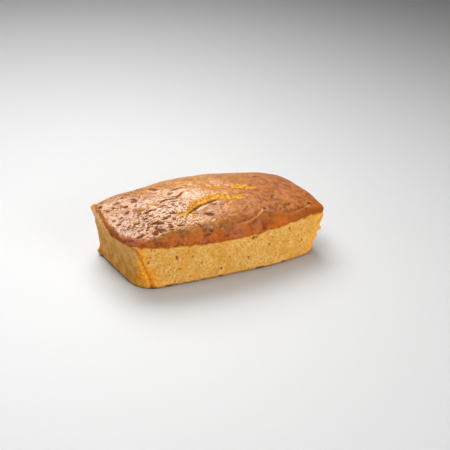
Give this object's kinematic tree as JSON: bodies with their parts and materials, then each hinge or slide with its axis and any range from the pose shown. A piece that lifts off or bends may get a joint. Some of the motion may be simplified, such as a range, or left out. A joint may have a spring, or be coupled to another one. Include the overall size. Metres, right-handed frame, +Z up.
{
  "type": "pound cake loaf",
  "caption": "Whole uncut pound cake loaf with pale crumb walls, a rounded browned crust on top and a split along its dome.",
  "frame": {"origin": "on the surface the cake stands on, under the middle of its outline seen from above", "axes": "+X along the loaf's length, towards the end away from the turned-up crust corner; +Y across the loaf, from the front, which shows the split's open side, to the back; +Z up"},
  "size_m": [0.238, 0.119, 0.0715],
  "materials": {
    "cake": "browned, slightly glossy crust on top; matt golden butter crumb on the sides"
  },
  "bodies": {
    "root": {"pound_cake": "cake"}
  },
  "joints": []
}
